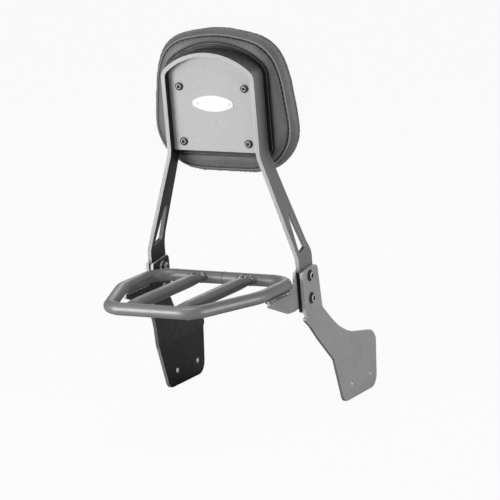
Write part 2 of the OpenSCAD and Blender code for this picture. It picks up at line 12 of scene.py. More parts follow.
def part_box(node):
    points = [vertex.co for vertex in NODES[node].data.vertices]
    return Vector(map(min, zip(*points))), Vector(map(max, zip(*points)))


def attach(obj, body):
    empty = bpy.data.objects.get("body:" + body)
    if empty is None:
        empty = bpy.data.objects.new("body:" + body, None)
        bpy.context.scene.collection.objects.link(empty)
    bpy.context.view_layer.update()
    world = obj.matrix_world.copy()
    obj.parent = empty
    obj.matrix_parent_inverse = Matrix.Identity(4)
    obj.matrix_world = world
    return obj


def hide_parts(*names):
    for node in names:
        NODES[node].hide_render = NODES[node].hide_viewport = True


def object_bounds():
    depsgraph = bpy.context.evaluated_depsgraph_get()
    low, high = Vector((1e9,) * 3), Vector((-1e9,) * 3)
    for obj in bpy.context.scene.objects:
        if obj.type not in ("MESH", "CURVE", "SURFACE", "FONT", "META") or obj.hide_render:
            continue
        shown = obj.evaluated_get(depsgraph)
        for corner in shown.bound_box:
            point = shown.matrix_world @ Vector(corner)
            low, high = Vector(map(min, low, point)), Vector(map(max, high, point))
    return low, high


bl_info = {
    "name": "Motorcycle Backrest and Rack",
    "version": (1, 0, 0),
    "blender": (4, 5, 0),
    "location": "View3D > Sidebar > Backrest",
    "description": "Builds the finishes, cushion, welds and stage of a bolt-on motorcycle backrest",
    "category": "Object",
}

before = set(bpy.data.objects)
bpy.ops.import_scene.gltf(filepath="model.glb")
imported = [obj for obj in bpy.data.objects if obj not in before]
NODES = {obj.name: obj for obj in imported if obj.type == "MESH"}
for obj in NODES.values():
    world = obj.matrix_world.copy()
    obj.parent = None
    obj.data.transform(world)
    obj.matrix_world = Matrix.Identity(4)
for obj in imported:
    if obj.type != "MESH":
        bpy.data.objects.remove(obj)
CAD_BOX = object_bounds()

BODY = "root"
SIDE_PLATES = ("side_plate_left", "side_plate_right")
BRACKETS = ("rack_bracket_left", "rack_bracket_right")
TUBES = ("rack_ring", "rack_bar_left", "rack_bar_right")
BOLT_PLACES = ("upper_left", "upper_right", "lower_left", "lower_right")
SIDE_BOLTS = tuple(f"side_bolt_{place}" for place in BOLT_PLACES)
FLANGE_NUTS = tuple(f"flange_nut_{place}" for place in BOLT_PLACES)

# Noises that several coats share: scale, detail and roughness
CLOUDS = (16.0, 4.0, 0.55)
# Noise of the pale rims along the edges, which are partly wear and partly painted highlight
EDGE_WEAR_AND_HIGHLIGHT = (260.0, 3.0, 0.5)
GLOSS = (70.0, 3.0, 0.5)

# The cushion's form
FRONT_CROWN = 1.004
SECTION_SHARES = (0.01, 0.05, 0.15, 0.3, 0.46, 0.6, 0.72, 0.84, 0.92, 0.98, 1.0)
WIDEST_SHARE = 0.3
MEAN_RADIUS = 0.11
BACK_PANEL = 0.045
HALF_WIDTH = 0.118

# The camera and the light
FOCAL_LENGTH_IN_PIXELS = 3447.7
PICTURE_WIDTH_IN_PIXELS = 500.0
SENSOR_WIDTH = 36.0
CAMERA_PLACE = (2.2084, -4.7135, 1.2049)
CAMERA_LOOKS_DOWN = 10.93
CAMERA_TURNS = 25.25
CAMERA_ROLLS = -1.75
LAMP_TARGET = (0.0, -0.15, 0.25)
WORLD_LIGHT = 0.26
FLOOR_GLOW = 0.94


# Sizes and colours


class BackrestSizes(bpy.types.PropertyGroup):
    """Sizes of the details that are added to the solids"""

    lean: bpy.props.FloatProperty(
        name="Upright lean", description="Backward lean of the upright",
        default=math.radians(6.8), subtype="ANGLE",
    )
    foot_y: bpy.props.FloatProperty(
        name="Foot Y", description="Place of the upright's feet along Y",
        default=-0.120, subtype="DISTANCE",
    )
    foot_z: bpy.props.FloatProperty(
        name="Foot Z", description="Height of the upright's feet",
        default=0.133, subtype="DISTANCE",
    )
    pad_back: bpy.props.FloatProperty(
        name="Cushion back", description="Depth of the cushion's back face in the upright's frame",
        default=0.038, subtype="DISTANCE",
    )
    pad_thickness: bpy.props.FloatProperty(
        name="Cushion thickness", description="Thickness of the cushion",
        default=0.050, subtype="DISTANCE",
    )
    rear_seam: bpy.props.FloatProperty(
        name="Rear seam", description="Share of the thickness at which the rear seam runs",
        default=0.042, min=0.0, max=1.0,
    )
    front_seam: bpy.props.FloatProperty(
        name="Front seam", description="Share of the thickness at which the front seam runs",
        default=0.4, min=0.0, max=1.0,
    )
    pad_voxel: bpy.props.FloatProperty(
        name="Cushion mesh size", description="Size of the faces that the foam is simulated with",
        default=0.005, subtype="DISTANCE",
    )
    pad_swell: bpy.props.FloatProperty(
        name="Foam swell", description="Furthest that the foam pushes the cover out",
        default=0.004, subtype="DISTANCE",
    )
    pad_middle: bpy.props.FloatProperty(
        name="Cushion middle", description="Height of the cushion's middle above the feet",
        default=0.3125, subtype="DISTANCE",
    )
    cover_around: bpy.props.IntProperty(
        name="Faces round the cushion", description="Faces in one ring of the cover",
        default=420, min=24,
    )
    puckers: bpy.props.IntProperty(
        name="Puckers", description="Small gathers along a seam",
        default=88, min=0,
    )
    cover_trim: bpy.props.FloatProperty(
        name="Cover trim", description="How far the drawn-in cover stays inside the solid's height",
        default=0.0016, subtype="DISTANCE",
    )
    back_roll: bpy.props.FloatProperty(
        name="Back roll", description="How far the back panel bulges beside the board",
        default=0.0045, subtype="DISTANCE",
    )
    groove_depth: bpy.props.FloatProperty(
        name="Seam depth", description="Depth of the valley along a seam",
        default=0.0026, subtype="DISTANCE",
    )
    stitch_pitch: bpy.props.FloatProperty(
        name="Stitch pitch", description="Distance from one stitch to the next",
        default=0.0042, subtype="DISTANCE",
    )
    stitch_offset: bpy.props.FloatProperty(
        name="Stitch offset", description="Distance of a row of stitches from its seam",
        default=0.0036, subtype="DISTANCE",
    )
    thread: bpy.props.FloatProperty(
        name="Thread", description="Diameter of the sewing thread",
        default=0.0013, subtype="DISTANCE",
    )
    screw: bpy.props.FloatProperty(
        name="Screw", description="Thread of the cushion's screws",
        default=0.006, subtype="DISTANCE",
    )
    screw_x: bpy.props.FloatProperty(
        name="Screw X", description="Distance of a screw from the middle",
        default=0.0535, subtype="DISTANCE",
    )
    screw_low: bpy.props.FloatProperty(
        name="Lower screws", description="Height above the feet",
        default=0.256, subtype="DISTANCE",
    )
    screw_rise: bpy.props.FloatProperty(
        name="Screw spacing", description="From lower to upper screws",
        default=0.085, subtype="DISTANCE",
    )
    bolt: bpy.props.FloatProperty(
        name="Bolt", description="Thread of the side bolts",
        default=0.008, subtype="DISTANCE",
    )
    bolt_depth: bpy.props.FloatProperty(
        name="Bolt depth", description="Distance from the strip's rear edge",
        default=0.024, subtype="DISTANCE",
    )
    bolt_low: bpy.props.FloatProperty(
        name="Lower bolt", description="Height above the feet",
        default=0.016, subtype="DISTANCE",
    )
    bolt_rise: bpy.props.FloatProperty(
        name="Bolt spacing", description="From lower to upper bolt",
        default=0.0355, subtype="DISTANCE",
    )
    tube_diameter: bpy.props.FloatProperty(
        name="Rack tube", description="Diameter of the rack's tube",
        default=0.019, subtype="DISTANCE",
    )
    bar_end: bpy.props.FloatProperty(
        name="Flattened bar end", description="Height of a bar's flattened end",
        default=0.009, subtype="DISTANCE",
    )
    rack_height: bpy.props.FloatProperty(
        name="Rack height", description="Height of the rack tube's axis",
        default=0.180, subtype="DISTANCE",
    )
    front_cross_y: bpy.props.FloatProperty(
        name="Front cross tube", description="Place of the front cross tube's axis along Y",
        default=-0.125, subtype="DISTANCE",
    )
    bead: bpy.props.FloatProperty(
        name="Weld bead", description="Radius of a weld bead",
        default=0.0023, subtype="DISTANCE",
    )


class BackrestColours(bpy.types.PropertyGroup):
    """Colours of the finishes"""

    coat: bpy.props.FloatVectorProperty(
        name="Powder coat", description="Satin powder coat of the outer faces",
        default=(0.21, 0.21, 0.211), size=3, subtype="COLOR", min=0, max=1,
    )
    # Painted shade: the dark colour given to faces that turn inward, up or into shade
    inner_shade: bpy.props.FloatVectorProperty(
        name="Inner shade", description="Painted shade on the inner faces",
        default=(0.012, 0.012, 0.012), size=3, subtype="COLOR", min=0, max=1,
    )
    # Painted highlight: the pale colour given to the cut edges and rims that face the lamps
    edge_highlight: bpy.props.FloatVectorProperty(
        name="Edge highlight", description="Painted highlight on the cut edges",
        default=(0.55, 0.55, 0.55), size=3, subtype="COLOR", min=0, max=1,
    )
    plate: bpy.props.FloatVectorProperty(
        name="Back plate", description="Fine textured coat of the back plate",
        default=(0.56, 0.56, 0.56), size=3, subtype="COLOR", min=0, max=1,
    )
    tube: bpy.props.FloatVectorProperty(
        name="Rack tube coat", description="Smoother coat of the tubes",
        default=(0.14, 0.14, 0.141), size=3, subtype="COLOR", min=0, max=1,
    )
    cover: bpy.props.FloatVectorProperty(
        name="Cushion cover", description="Grained synthetic leather",
        default=(0.17, 0.17, 0.171), size=3, subtype="COLOR", min=0, max=1,
    )
    # Pale thread colour, a painted sheen on black thread
    thread: bpy.props.FloatVectorProperty(
        name="Thread", description="Sewing thread",
        default=(0.34, 0.34, 0.34), size=3, subtype="COLOR", min=0, max=1,
    )
    badge: bpy.props.FloatVectorProperty(
        name="Badge", description="Blank badge",
        default=(0.95, 0.95, 0.95), size=3, subtype="COLOR", min=0, max=1,
    )
    zinc: bpy.props.FloatVectorProperty(
        name="Zinc", description="Plated nuts and spacers",
        default=(0.86, 0.87, 0.89), size=3, subtype="COLOR", min=0, max=1,
    )
    oxide: bpy.props.FloatVectorProperty(
        name="Black oxide", description="Blackened screws and bolts",
        default=(0.018, 0.018, 0.018), size=3, subtype="COLOR", min=0, max=1,
    )
    board: bpy.props.FloatVectorProperty(
        name="Board", description="Moulded board behind the cushion",
        default=(0.012, 0.012, 0.012), size=3, subtype="COLOR", min=0, max=1,
    )
    floor: bpy.props.FloatVectorProperty(
        name="Floor", description="Pale studio floor",
        default=(0.6, 0.6, 0.6), size=3, subtype="COLOR", min=0, max=1,
    )


# Shared helpers


def sizes():
    return bpy.context.scene.backrest_sizes


def colours():
    return bpy.context.scene.backrest_colours


def select_only(*objects):
    bpy.ops.object.select_all(action="DESELECT")
    for one in objects:
        one.select_set(True)
    bpy.context.view_layer.objects.active = objects[0]


def apply_modifier(piece, kind, name, **settings):
    """Adds a modifier to a piece and applies it at once."""
    modifier = piece.modifiers.new(name, kind)
    for key, value in settings.items():
        setattr(modifier, key, value)
    select_only(piece)
    bpy.ops.object.modifier_apply(modifier=name)


def put_place_in_mesh(piece):
    select_only(piece)
    bpy.ops.object.transform_apply(location=True, rotation=True, scale=True)


def smooth(piece, angle):
    select_only(piece)
    bpy.ops.object.shade_smooth_by_angle(angle=math.radians(angle))


def join(pieces, name):
    select_only(*pieces)
    bpy.ops.object.join()
    piece = bpy.context.view_layer.objects.active
    piece.name = name
    piece.data.name = name
    return piece


def finish_piece(piece, material):
    """Gives a new piece its finish and lets it ride on the part."""
    put_place_in_mesh(piece)
    piece.data.materials.clear()
    piece.data.materials.append(material)
    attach(piece, BODY)
    return piece


def dress(names, material):
    """Gives CAD nodes a detailed finish."""
    for name in names:
        solid = NODES[name]
        if not solid.data.materials:
            solid.data.materials.append(material)
        for slot in solid.material_slots:
            slot.material = material


def lean_point(x, depth, height):
    """A point of the upright's leaning frame in the part's own frame."""
    s = sizes()
    c, n = math.cos(s.lean), math.sin(s.lean)
    return Vector((x, s.foot_y + depth * c - height * n, s.foot_z + depth * n + height * c))


def lean_height(point):
    """How far a point lies above the upright's feet, along its lean."""
    s = sizes()
    return (point[2] - s.foot_z) * math.cos(s.lean) - (point[1] - s.foot_y) * math.sin(s.lean)


def lean_depth(point):
    """How far a point lies in front of the upright's rear edge."""
    s = sizes()
    return (point[1] - s.foot_y) * math.cos(s.lean) + (point[2] - s.foot_z) * math.sin(s.lean)


# Finishes


class Finish:
    """A material under construction: its tree, its shader and small node helpers."""

    def __init__(self, name, colour, roughness):
        self.material = bpy.data.materials.new(name)
        self.material.use_nodes = True
        self.material.diffuse_color = (*colour, 1.0)
        self.nodes = self.material.node_tree.nodes
        self.links = self.material.node_tree.links
        self.shader = self.nodes["Principled BSDF"]
        self.shader.inputs["Base Color"].default_value = (*colour, 1.0)
        self.shader.inputs["Roughness"].default_value = roughness
        coordinates = self.node("ShaderNodeTexCoord")
        self.place = coordinates.outputs["Object"]
        self.facing = coordinates.outputs["Normal"]

    def node(self, kind, **settings):
        made = self.nodes.new(kind)
        for key, value in settings.items():
            setattr(made, key, value)
        return made

    def link(self, start, end):
        self.links.new(start, end)

    def noise(self, scale, detail=3.0, roughness=0.5, stretch=None):
        made = self.node("ShaderNodeTexNoise")
        made.inputs["Scale"].default_value = scale
        made.inputs["Detail"].default_value = detail
        made.inputs["Roughness"].default_value = roughness
        if stretch:
            mapping = self.node("ShaderNodeMapping")
            mapping.inputs["Scale"].default_value = stretch
            self.link(self.place, mapping.inputs["Vector"])
            self.link(mapping.outputs["Vector"], made.inputs["Vector"])
        else:
            self.link(self.place, made.inputs["Vector"])
        return made.outputs["Fac"]

    def cells(self, scale, feature="DISTANCE_TO_EDGE"):
        made = self.node("ShaderNodeTexVoronoi", feature=feature)
        made.inputs["Scale"].default_value = scale
        self.link(self.place, made.inputs["Vector"])
        return made.outputs["Distance"]

    def attribute(self, name):
        return self.node("ShaderNodeAttribute", attribute_name=name).outputs["Fac"]

    def span(self, value, low, high, to_low, to_high):
        """A value carried from one range to another, and held at that range's ends."""
        made = self.node("ShaderNodeMapRange")
        made.clamp = True
        ends = {"From Min": low, "From Max": high, "To Min": to_low, "To Max": to_high}
        for key, number in ends.items():
            made.inputs[key].default_value = number
        self.link(value, made.inputs["Value"])
        return made.outputs["Result"]

    def calc(self, operation, first, second=None):
        made = self.node("ShaderNodeMath", operation=operation)
        for k, value in enumerate((first, second)):
            if value is None:
                continue
            if isinstance(value, (int, float)):
                made.inputs[k].default_value = value
            else:
                self.link(value, made.inputs[k])
        return made.outputs["Value"]

    def spread(self, noise, to_low, to_high):
        """The middle of a noise, where nearly all of it lies, carried to another range."""
        return self.span(noise, 0.3, 0.7, to_low, to_high)

    def product(self, first, second):
        return self.calc("MULTIPLY", first, second)

    def parts(self, vector):
        """The X, Y and Z of a vector."""
        made = self.node("ShaderNodeSeparateXYZ")
        self.link(vector, made.inputs[0])
        return made.outputs

    def reach(self, vector, axis):
        """How far a vector reaches along a fixed axis."""
        made = self.node("ShaderNodeVectorMath", operation="DOT_PRODUCT")
        self.link(vector, made.inputs[0])
        made.inputs[1].default_value = axis
        return made.outputs["Value"]

    def blend(self, factor, first, second, mode="MIX"):
        made = self.node("ShaderNodeMix", data_type="RGBA", blend_type=mode)
        self.link(factor, made.inputs[0])
        for k, value in ((6, first), (7, second)):
            if isinstance(value, bpy.types.NodeSocket):
                self.link(value, made.inputs[k])
            else:
                made.inputs[k].default_value = (*tuple(value)[:3], 1.0)
        return made.outputs[2]

    def bump(self, height, strength, distance, under=None):
        made = self.node("ShaderNodeBump")
        made.inputs["Strength"].default_value = strength
        made.inputs["Distance"].default_value = distance
        self.link(height, made.inputs["Height"])
        if under is not None:
            self.link(under, made.inputs["Normal"])
        return made.outputs["Normal"]

    def rounded_edges(self, radius):
        """Normals that turn softly over the edges."""
        made = self.node("ShaderNodeBevel", samples=6)
        made.inputs["Radius"].default_value = radius
        return made.outputs["Normal"]

    def edge_mask(self, soft_normal, low=0.02, high=0.2):
        """One along the edges and zero on the faces."""
        geometry = self.node("ShaderNodeNewGeometry")
        dot = self.node("ShaderNodeVectorMath", operation="DOT_PRODUCT")
        self.link(soft_normal, dot.inputs[0])
        self.link(geometry.outputs["Normal"], dot.inputs[1])
        return self.span(self.calc("SUBTRACT", 1.0, dot.outputs["Value"]), low, high, 0.0, 1.0)

    def colour(self, value):
        self.link(value, self.shader.inputs["Base Color"])

    def roughness(self, value):
        self.link(value, self.shader.inputs["Roughness"])

    def normal(self, value):
        self.link(value, self.shader.inputs["Normal"])


def shade(colour, factor):
    return tuple(min(1.0, c * factor) for c in colour)


def side_zones(f, outer, inner, edge, cut_axis=None):
    """Outer, inner and cut faces of a symmetric plate work, told apart by which way they face: painted
    shade on the inner faces, a painted highlight on the cut edges and painted shade on cut edges that face
    down.
    """
    face, spot = f.parts(f.facing), f.parts(f.place)
    sideways = f.product(f.calc("SIGN", spot["X"]), face["X"])
    outward = f.calc("ADD", sideways, f.product(face["Z"], 0.6))
    # painted shade on the faces that turn inward
    skin = f.blend(f.span(outward, -0.25, 0.35, 0.0, 1.0), inner, outer)
    if cut_axis is not None:
        return strip_zones(f, skin, inner, edge, cut_axis)
    cut = f.span(f.calc("ABSOLUTE", face["X"]), 0.35, 0.6, 1.0, 0.0)
    # painted shade on the cut edges that face downward
    downward = f.span(face["Z"], -0.45, -0.15, 1.0, 0.0)
    return f.blend(cut, skin, f.blend(downward, edge, shade(edge, 0.25)))


def strip_zones(f, skin, inner, edge, cut_axis):
    """The bent strip's own zones, all painted shade: darker on top, beside the cushion, in its slots and at
    its feet between the side plates.
    """
    s = sizes()
    face, spot = f.parts(f.facing), f.parts(f.place)
    frontward = f.reach(f.facing, cut_axis)
    depth = f.reach(f.place, cut_axis)
    rear = Vector((0.0, s.foot_y, s.foot_z)).dot(Vector(cut_axis))
    # painted shade on the faces that turn up
    skin = f.blend(f.span(face["Z"], 0.45, 0.95, 0.0, 0.75), skin, inner)
    # painted shade beside the cushion
    beside_pad = f.product(
        f.span(depth, rear + 0.006, rear + s.pad_back, 0.0, 1.0),
        f.span(spot["Z"], 0.34, 0.39, 0.0, 0.85),
    )
    skin = f.blend(beside_pad, skin, inner)
    # painted shade on the cut faces inside the slots
    in_slot = f.product(
        f.span(depth, rear + 0.008, rear + 0.012, 0.0, 1.0),
        f.span(frontward, -0.6, -0.4, 1.0, 0.0),
    )
    edge = f.blend(in_slot, edge, shade(edge, 0.35))
    cut = f.span(f.calc("ABSOLUTE", frontward), 0.5, 0.7, 0.0, 1.0)
    # painted shade on the feet, between the side plates
    foot_shade = f.span(spot["Z"], 0.194, 0.204, 1.0, 0.0)
    return f.blend(foot_shade, f.blend(cut, skin, edge), inner)


def plate_coat(name, roughness, cut_axis=None, tone=1.0, cut_tone=1.0):
    """Satin powder coat on cut and bent plate: orange peel, clouds, painted shade on the inner faces, a
    painted highlight on the cut edges, and pale rims that are partly wear and partly painted highlight.
    """
    c = colours()
    f = Finish(name, c.coat, roughness)
    f.shader.inputs["IOR"].default_value = 1.3
    skin = side_zones(f, shade(c.coat, tone), c.inner_shade, shade(c.edge_highlight, cut_tone), cut_axis)
    clouds = f.spread(f.noise(*CLOUDS), 0.0, 1.0)
    tinted = f.blend(clouds, skin, (0.86, 0.86, 0.86), "MULTIPLY")
    soft = f.rounded_edges(0.001)
    # pale rims along the edges, partly wear and partly painted highlight
    rim_wear_and_highlight = f.span(f.noise(*EDGE_WEAR_AND_HIGHLIGHT), 0.25, 0.65, 0.6, 1.0)
    rim = f.product(f.edge_mask(soft, 0.01, 0.1), rim_wear_and_highlight)
    f.colour(f.blend(rim, tinted, shade(c.edge_highlight, 1.7)))
    f.roughness(f.spread(f.noise(*GLOSS), roughness - 0.04, roughness + 0.05))
    f.normal(f.bump(f.noise(1300.0, 2.0, 0.55), 0.5, 0.00006, soft))
    return f.material


def inward_and_down(f):
    """Mask of the tubes' painted shade: high where a tube faces the rack's middle or the floor, low where
    it faces out, up or to the rear.
    """
    face, spot = f.parts(f.facing), f.parts(f.place)
    outward = f.product(f.calc("SIGN", spot["X"]), face["X"])
    inward = f.product(outward, -1.0)
    between_bars = f.span(f.calc("ABSOLUTE", spot["X"]), 0.055, 0.06, 1.0, 0.0)
    either = f.product(between_bars, f.calc("ABSOLUTE", face["X"]))
    sideways = f.product(f.calc("MAXIMUM", inward, either), 0.5)
    up = f.product(face["Z"], 0.7)
    along = f.product(f.calc("ABSOLUTE", face["Y"]), 0.6)
    return f.calc("SUBTRACT", f.calc("SUBTRACT", sideways, up), along)


def powder_coat(
    name,
    colour,
    edge_colour,
    roughness,
    grain,
    grain_height,
    edge_radius,
    cloud,
    speck=0.0,
    under=1.0,
    ior=1.5,
):
    """Sprayed and baked coat: orange peel, faint clouds, painted shade where a tube faces in or down, and
    paler edges that are partly thinner paint and partly painted highlight.
    """
    f = Finish(name, colour, roughness)
    f.shader.inputs["IOR"].default_value = ior
    clouds = f.spread(f.noise(*CLOUDS), 0.0, 1.0)
    tinted = f.blend(clouds, shade(colour, 1 - cloud), shade(colour, 1 + cloud))
    if speck:
        specks = f.spread(f.noise(520.0, 3.0, 0.7), 0.0, 1.0)
        tinted = f.blend(f.product(specks, speck), tinted, shade(colour, 0.3))
    # painted shade on the sides that face the rack's middle or the floor
    if under < 1.0:
        shaded = f.span(inward_and_down(f), 0.1, 0.65, 0.0, 1.0)
        tinted = f.blend(shaded, tinted, shade(colour, under))
    soft = f.rounded_edges(edge_radius)
    # paler edges, partly thinner paint and partly painted highlight
    edges = f.product(f.edge_mask(soft), f.span(f.noise(*EDGE_WEAR_AND_HIGHLIGHT), 0.25, 0.65, 0.55, 1.0))
    f.colour(f.blend(edges, tinted, edge_colour))
    f.roughness(f.spread(f.noise(*GLOSS), roughness - 0.04, roughness + 0.05))
    f.normal(f.bump(f.noise(grain, 2.0, 0.55), 0.5, grain_height, soft))
    return f.material


def far_from_axis(f, place, centre, axis):
    """Distance from a line through a centre."""
    off = f.node("ShaderNodeVectorMath", operation="SUBTRACT")
    f.link(place, off.inputs[0])
    off.inputs[1].default_value = centre
    across = f.node("ShaderNodeVectorMath", operation="CROSS_PRODUCT")
    f.link(off.outputs["Vector"], across.inputs[0])
    across.inputs[1].default_value = axis
    length = f.node("ShaderNodeVectorMath", operation="LENGTH")
    f.link(across.outputs["Vector"], length.inputs[0])
    return length.outputs["Value"]


def black_oxide(name, centres, thread):
    """Blackened button screws: a painted highlight on the dome between the dark flange and the dark socket.
    """
    f = Finish(name, colours().oxide, 0.24)
    spot = f.parts(f.place)
    mirrored = f.node("ShaderNodeCombineXYZ")
    f.link(f.calc("ABSOLUTE", spot["X"]), mirrored.inputs["X"])
    f.link(spot["Y"], mirrored.inputs["Y"])
    f.link(spot["Z"], mirrored.inputs["Z"])
    nearest = None
    for centre, axis in centres:
        far = far_from_axis(f, mirrored.outputs["Vector"], centre, axis)
        nearest = far if nearest is None else f.calc("MINIMUM", nearest, far)
    past_socket = f.span(nearest, 0.42 * thread, 0.48 * thread, 0.0, 1.0)
    before_flange = f.span(nearest, 0.6 * thread, 0.72 * thread, 1.0, 0.0)
    dome = f.product(past_socket, before_flange)
    # painted highlight on the dome, patchy by noise
    dome_highlight = f.product(dome, f.span(f.noise(420.0), 0.3, 0.65, 0.5, 1.0))
    f.colour(f.blend(dome_highlight, colours().oxide, (0.7, 0.7, 0.7)))
    f.roughness(f.spread(f.noise(400.0), 0.16, 0.3))
    f.normal(f.bump(f.noise(1500.0, 2.0), 0.3, 0.00004, f.rounded_edges(0.0002)))
    return f.material


def zinc_plate():
    """Bright zinc with faint patches and fine scratches."""
    zinc = colours().zinc
    f = Finish("zinc_plated_steel", zinc, 0.22)
    f.shader.inputs["Metallic"].default_value = 1.0
    f.colour(f.blend(f.spread(f.noise(220.0, 4.0), 0.0, 1.0), shade(zinc, 0.8), zinc))
    f.roughness(f.spread(f.noise(500.0), 0.16, 0.3))
    scratches = f.noise(1200.0, stretch=(1.0, 1.0, 0.1))
    f.normal(f.bump(scratches, 0.3, 0.00004, f.rounded_edges(0.0003)))
    return f.material


def badge_white():
    """Satin white with a faint brushing."""
    white = colours().badge
    f = Finish("satin_badge", white, 0.4)
    f.colour(f.blend(f.spread(f.noise(40.0), 0.0, 1.0), shade(white, 0.97), white))
    f.roughness(f.spread(f.noise(150.0), 0.34, 0.46))
    brushing = f.noise(900.0, 2.0, stretch=(0.05, 1.0, 1.0))
    f.normal(f.bump(brushing, 0.25, 0.00003, f.rounded_edges(0.0003)))
    return f.material


def moulded_board():
    """Black board with a pebbled face and pale edges that are a painted highlight."""
    board = colours().board
    f = Finish("moulded_board", board, 0.5)
    soft = f.rounded_edges(0.0009)
    # painted highlight along the board's edges
    f.colour(f.blend(f.edge_mask(soft, 0.01, 0.08), board, shade(board, 42.0)))
    f.roughness(f.spread(f.noise(120.0), 0.42, 0.58))
    f.normal(f.bump(f.cells(1100.0, "F1"), 0.35, 0.00012, soft))
    return f.material


def grained_cover():
    """Embossed synthetic leather with mottling: painted light on the cover before a seam and on the seams'
    lips, and painted shade towards the seams, beside the board and in the seams' valleys.
    """
    base = colours().cover
    f = Finish("grained_cover", base, 0.48)
    f.shader.inputs["Sheen Weight"].default_value = 0.06
    past_seam = f.attribute("beside_seam")
    from_board = f.attribute("beside_board")
    coarse, fine = f.noise(60.0, 5.0, 0.6), f.noise(420.0, 3.0, 0.6)
    blotches = f.calc("ADD", f.product(coarse, 0.5), f.product(fine, 0.5))
    skin = f.blend(f.span(blotches, 0.4, 0.6, 0.0, 1.0), shade(base, 0.82), shade(base, 1.18))
    # painted light on the cover a little before a seam, where it does not face down
    before_seam = f.span(past_seam, -0.009, -0.003, 0.9, 0.0)
    upward = f.span(f.parts(f.facing)["Z"], -0.3, 0.2, 0.0, 1.0)
    skin = f.blend(f.product(before_seam, upward), skin, shade(base, 1.6))
    # painted shade deepening towards a seam
    skin = f.blend(f.span(past_seam, -0.016, -0.002, 0.0, 0.45), skin, shade(base, 0.4))
    # painted shade beside the board
    skin = f.blend(f.span(from_board, 0.002, 0.0065, 0.75, 0.0), skin, shade(base, 0.15))
    skin = f.blend(f.span(from_board, 0.001, 0.004, 0.95, 0.0), skin, shade(base, 0.02))
    # painted highlight on the seams' lips
    lip_starts = f.span(past_seam, 0.0013, 0.002, 0.0, 1.0)
    lip_ends = f.span(past_seam, 0.003, 0.0038, 1.0, 0.0)
    lip = f.product(lip_starts, lip_ends)
    skin = f.blend(f.product(lip, 0.8), skin, shade(base, 2.1))
    # painted shade in the seams' valleys
    valley = f.span(f.calc("ABSOLUTE", past_seam), 0.0006, 0.0013, 1.0, 0.0)
    f.colour(f.blend(valley, skin, shade(base, 0.08)))
    f.roughness(f.spread(f.noise(90.0), 0.4, 0.54))
    pores = f.span(f.cells(950.0), 0.0, 0.12, 0.0, 0.7)
    grain = f.calc("ADD", pores, f.product(f.noise(420.0, 4.0), 0.5))
    f.normal(f.bump(grain, 0.5, 0.00025))
    return f.material


def sewing_thread():
    """Twisted thread, darker between its strands; its pale colour is a painted sheen."""
    thread = colours().thread
    f = Finish("sewing_thread", thread, 0.7)
    twist = f.noise(2600.0, 1.0)
    f.colour(f.blend(f.span(twist, 0.35, 0.65, 0.0, 1.0), shade(thread, 0.5), shade(thread, 1.3)))
    f.normal(f.bump(twist, 0.5, 0.0001))
    return f.material


def painted_weld(name, tone):
    """Paint over a rough weld, with painted glints on its lumps and painted shade along its underside."""
    tube = colours().tube
    base = shade(tube, tone)
    f = Finish(name, base, 0.3)
    f.shader.inputs["IOR"].default_value = 2.3
    # painted glints on the lumps
    lumps = f.span(f.noise(260.0), 0.44, 0.6, 0.0, 1.0)
    glinting_lumps = f.blend(lumps, shade(base, 0.12), shade(base, 2.6))
    # painted shade along the underside
    downward = f.span(f.parts(f.facing)["Z"], -0.35, 0.25, 1.0, 0.0)
    f.colour(f.blend(downward, glinting_lumps, shade(tube, 0.04)))
    f.roughness(f.spread(f.noise(200.0), 0.22, 0.36))
    f.normal(f.bump(f.noise(900.0), 0.5, 0.0002))
    return f.material


# Weld beads


def ripple(piece, depth, size):
    """Rough, layered surface of a weld."""
    texture = bpy.data.textures.new("weld_ripple", "CLOUDS")
    texture.noise_scale = size
    texture.noise_depth = 2
    apply_modifier(
        piece,
        "DISPLACE",
        "ripple",
        texture=texture,
        strength=depth,
        mid_level=0.5,
        texture_coords="LOCAL",
    )


def ring_bead(name, centre, turn, width, height, bead):
    """A bead that runs right round a joint, as wide and high as given."""
    bpy.ops.object.select_all(action="DESELECT")
    ring, wire = 0.5, 0.001
    bpy.ops.mesh.primitive_torus_add(
        location=centre,
        rotation=turn,
        major_radius=ring,
        minor_radius=wire,
        major_segments=72,
        minor_segments=10,
    )
    piece = bpy.context.object
    piece.name = name
    for vertex in piece.data.vertices:
        x, y, z = vertex.co
        radius = math.hypot(x, y)
        out = Vector((x / radius, y / radius))
        slope = Vector((out.x * height, out.y * width)).normalized()
        lump = 1.0 + 0.22 * math.sin(math.atan2(out.y, out.x) * 22.0)
        grow = (radius - ring) / wire * bead * lump
        vertex.co = (
            out.x * width / 2 + slope.x * grow,
            out.y * height / 2 + slope.y * grow,
            z / wire * bead * lump,
        )
    put_place_in_mesh(piece)
    ripple(piece, 0.0006, 0.003)
    smooth(piece, 60)
    return piece


def saddle_point(joint, half, way, radius, lift, turn):
    """A point of the line where a flattened bar's end meets a round tube."""
    across = (half.x + lift) * math.cos(math.radians(turn))
    up = (half.z + lift) * math.sin(math.radians(turn))
    return joint + Vector((across, way * (math.sqrt(radius**2 - up**2) + lift), up))


